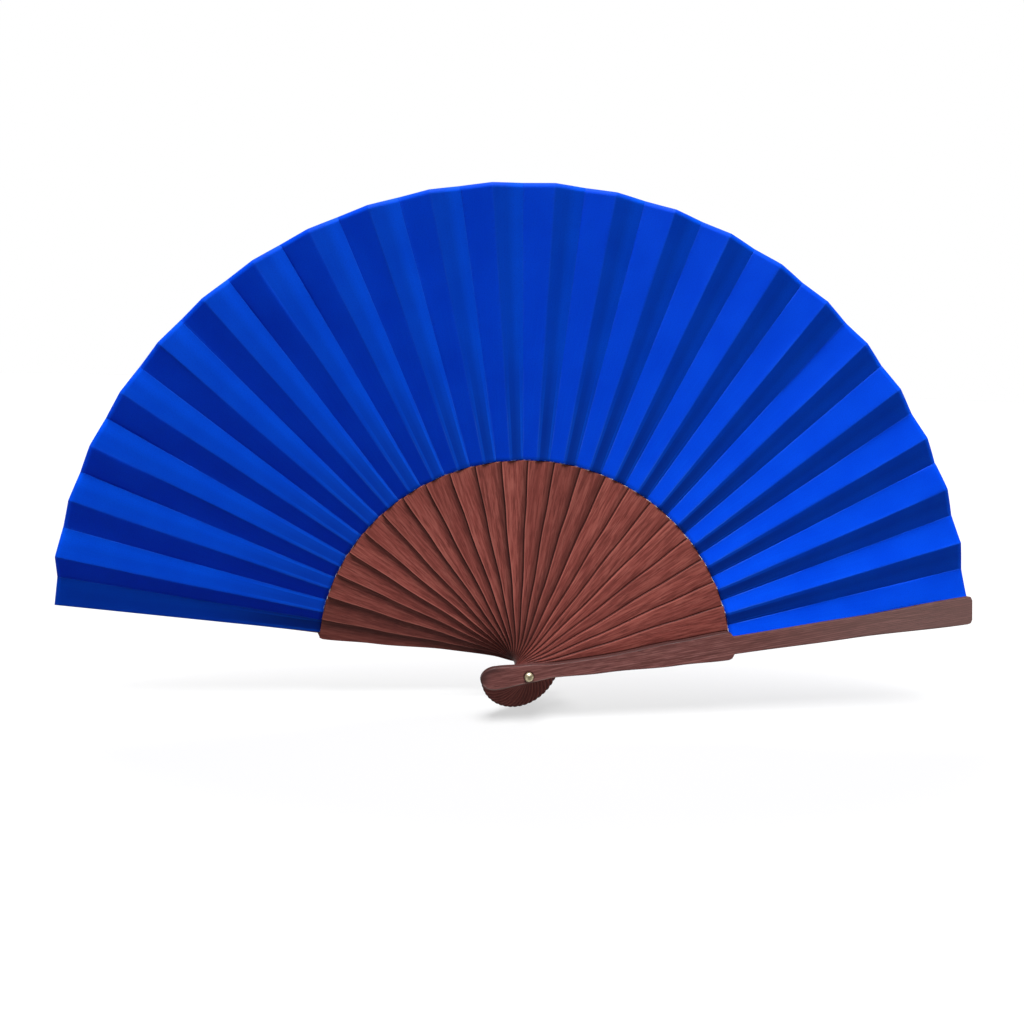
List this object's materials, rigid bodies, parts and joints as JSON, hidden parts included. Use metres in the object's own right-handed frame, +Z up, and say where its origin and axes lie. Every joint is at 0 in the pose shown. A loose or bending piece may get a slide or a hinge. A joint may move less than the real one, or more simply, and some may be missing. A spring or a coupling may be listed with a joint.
{
  "type": "folding hand fan",
  "caption": "Folding hand fan shown open: flat hardwood ribs on one brass rivet carry a pleated blue cloth leaf between two thick guards.",
  "frame": {"origin": "middle of the rivet's flat rear end, on the axis that every rib turns about", "axes": "+Y out of the rear along the rivet, -Y towards whoever looks at the leaf, +Z up through the middle of the spread, +X to the front guard's side"},
  "size_m": [0.4187, 0.0393, 0.2308],
  "materials": {
    "sandalwood": "satin, fine long grain",
    "blue_cloth": "fine plain weave, slight sheen",
    "brass": "polished, slightly aged"
  },
  "bodies": {
    "rear_guard": {"rear_guard": "sandalwood", "leaf_pleat_01": "blue_cloth", "rivet": "brass", "rear_washer": "brass", "front_washer": "brass"},
    "stick_01": {"stick_01": "sandalwood", "leaf_pleat_02": "blue_cloth"},
    "stick_02": {"stick_02": "sandalwood", "leaf_pleat_03": "blue_cloth"},
    "stick_03": {"stick_03": "sandalwood", "leaf_pleat_04": "blue_cloth"},
    "stick_04": {"stick_04": "sandalwood", "leaf_pleat_05": "blue_cloth"},
    "stick_05": {"stick_05": "sandalwood", "leaf_pleat_06": "blue_cloth"},
    "stick_06": {"stick_06": "sandalwood", "leaf_pleat_07": "blue_cloth"},
    "stick_07": {"stick_07": "sandalwood", "leaf_pleat_08": "blue_cloth"},
    "stick_08": {"stick_08": "sandalwood", "leaf_pleat_09": "blue_cloth"},
    "stick_09": {"stick_09": "sandalwood", "leaf_pleat_10": "blue_cloth"},
    "stick_10": {"stick_10": "sandalwood", "leaf_pleat_11": "blue_cloth"},
    "stick_11": {"stick_11": "sandalwood", "leaf_pleat_12": "blue_cloth"},
    "stick_12": {"stick_12": "sandalwood", "leaf_pleat_13": "blue_cloth"},
    "stick_13": {"stick_13": "sandalwood", "leaf_pleat_14": "blue_cloth"},
    "stick_14": {"stick_14": "sandalwood", "leaf_pleat_15": "blue_cloth"},
    "stick_15": {"stick_15": "sandalwood", "leaf_pleat_16": "blue_cloth"},
    "stick_16": {"stick_16": "sandalwood", "leaf_pleat_17": "blue_cloth"},
    "stick_17": {"stick_17": "sandalwood", "leaf_pleat_18": "blue_cloth"},
    "stick_18": {"stick_18": "sandalwood", "leaf_pleat_19": "blue_cloth"},
    "stick_19": {"stick_19": "sandalwood", "leaf_pleat_20": "blue_cloth"},
    "stick_20": {"stick_20": "sandalwood", "leaf_pleat_21": "blue_cloth"},
    "stick_21": {"stick_21": "sandalwood", "leaf_pleat_22": "blue_cloth"},
    "stick_22": {"stick_22": "sandalwood", "leaf_pleat_23": "blue_cloth"},
    "front_guard": {"front_guard": "sandalwood", "leaf_pleat_24": "blue_cloth"}
  },
  "joints": [
    {"name": "fold_01", "type": "hinge", "parent": "rear_guard", "child": "stick_01", "pos_m": [0, 0, 0], "axis": [0, -1, 0], "range_deg": [0, 6]},
    {"name": "fold_02", "type": "hinge", "parent": "stick_01", "child": "stick_02", "pos_m": [0, 0, 0], "axis": [0, -1, 0], "range_deg": [0, 7.16]},
    {"name": "fold_03", "type": "hinge", "parent": "stick_02", "child": "stick_03", "pos_m": [0, 0, 0], "axis": [0, -1, 0], "range_deg": [0, 7.16]},
    {"name": "fold_04", "type": "hinge", "parent": "stick_03", "child": "stick_04", "pos_m": [0, 0, 0], "axis": [0, -1, 0], "range_deg": [0, 7.16]},
    {"name": "fold_05", "type": "hinge", "parent": "stick_04", "child": "stick_05", "pos_m": [0, 0, 0], "axis": [0, -1, 0], "range_deg": [0, 7.16]},
    {"name": "fold_06", "type": "hinge", "parent": "stick_05", "child": "stick_06", "pos_m": [0, 0, 0], "axis": [0, -1, 0], "range_deg": [0, 7.16]},
    {"name": "fold_07", "type": "hinge", "parent": "stick_06", "child": "stick_07", "pos_m": [0, 0, 0], "axis": [0, -1, 0], "range_deg": [0, 7.16]},
    {"name": "fold_08", "type": "hinge", "parent": "stick_07", "child": "stick_08", "pos_m": [0, 0, 0], "axis": [0, -1, 0], "range_deg": [0, 7.16]},
    {"name": "fold_09", "type": "hinge", "parent": "stick_08", "child": "stick_09", "pos_m": [0, 0, 0], "axis": [0, -1, 0], "range_deg": [0, 7.16]},
    {"name": "fold_10", "type": "hinge", "parent": "stick_09", "child": "stick_10", "pos_m": [0, 0, 0], "axis": [0, -1, 0], "range_deg": [0, 7.16]},
    {"name": "fold_11", "type": "hinge", "parent": "stick_10", "child": "stick_11", "pos_m": [0, 0, 0], "axis": [0, -1, 0], "range_deg": [0, 7.16]},
    {"name": "fold_12", "type": "hinge", "parent": "stick_11", "child": "stick_12", "pos_m": [0, 0, 0], "axis": [0, -1, 0], "range_deg": [0, 7.16]},
    {"name": "fold_13", "type": "hinge", "parent": "stick_12", "child": "stick_13", "pos_m": [0, 0, 0], "axis": [0, -1, 0], "range_deg": [0, 7.16]},
    {"name": "fold_14", "type": "hinge", "parent": "stick_13", "child": "stick_14", "pos_m": [0, 0, 0], "axis": [0, -1, 0], "range_deg": [0, 7.16]},
    {"name": "fold_15", "type": "hinge", "parent": "stick_14", "child": "stick_15", "pos_m": [0, 0, 0], "axis": [0, -1, 0], "range_deg": [0, 7.16]},
    {"name": "fold_16", "type": "hinge", "parent": "stick_15", "child": "stick_16", "pos_m": [0, 0, 0], "axis": [0, -1, 0], "range_deg": [0, 7.16]},
    {"name": "fold_17", "type": "hinge", "parent": "stick_16", "child": "stick_17", "pos_m": [0, 0, 0], "axis": [0, -1, 0], "range_deg": [0, 7.16]},
    {"name": "fold_18", "type": "hinge", "parent": "stick_17", "child": "stick_18", "pos_m": [0, 0, 0], "axis": [0, -1, 0], "range_deg": [0, 7.16]},
    {"name": "fold_19", "type": "hinge", "parent": "stick_18", "child": "stick_19", "pos_m": [0, 0, 0], "axis": [0, -1, 0], "range_deg": [0, 7.16]},
    {"name": "fold_20", "type": "hinge", "parent": "stick_19", "child": "stick_20", "pos_m": [0, 0, 0], "axis": [0, -1, 0], "range_deg": [0, 7.16]},
    {"name": "fold_21", "type": "hinge", "parent": "stick_20", "child": "stick_21", "pos_m": [0, 0, 0], "axis": [0, -1, 0], "range_deg": [0, 7.16]},
    {"name": "fold_22", "type": "hinge", "parent": "stick_21", "child": "stick_22", "pos_m": [0, 0, 0], "axis": [0, -1, 0], "range_deg": [0, 7.16]},
    {"name": "fold_23", "type": "hinge", "parent": "stick_22", "child": "front_guard", "pos_m": [0, 0, 0], "axis": [0, -1, 0], "range_deg": [0, 7.16]}
  ],
  "couplings": [
    {"joint": "fold_02", "follows": "fold_01", "ratio": 1.1933},
    {"joint": "fold_03", "follows": "fold_01", "ratio": 1.1933},
    {"joint": "fold_04", "follows": "fold_01", "ratio": 1.1933},
    {"joint": "fold_05", "follows": "fold_01", "ratio": 1.1933},
    {"joint": "fold_06", "follows": "fold_01", "ratio": 1.1933},
    {"joint": "fold_07", "follows": "fold_01", "ratio": 1.1933},
    {"joint": "fold_08", "follows": "fold_01", "ratio": 1.1933},
    {"joint": "fold_09", "follows": "fold_01", "ratio": 1.1933},
    {"joint": "fold_10", "follows": "fold_01", "ratio": 1.1933},
    {"joint": "fold_11", "follows": "fold_01", "ratio": 1.1933},
    {"joint": "fold_12", "follows": "fold_01", "ratio": 1.1933},
    {"joint": "fold_13", "follows": "fold_01", "ratio": 1.1933},
    {"joint": "fold_14", "follows": "fold_01", "ratio": 1.1933},
    {"joint": "fold_15", "follows": "fold_01", "ratio": 1.1933},
    {"joint": "fold_16", "follows": "fold_01", "ratio": 1.1933},
    {"joint": "fold_17", "follows": "fold_01", "ratio": 1.1933},
    {"joint": "fold_18", "follows": "fold_01", "ratio": 1.1933},
    {"joint": "fold_19", "follows": "fold_01", "ratio": 1.1933},
    {"joint": "fold_20", "follows": "fold_01", "ratio": 1.1933},
    {"joint": "fold_21", "follows": "fold_01", "ratio": 1.1933},
    {"joint": "fold_22", "follows": "fold_01", "ratio": 1.1933},
    {"joint": "fold_23", "follows": "fold_01", "ratio": 1.1933}
  ]
}
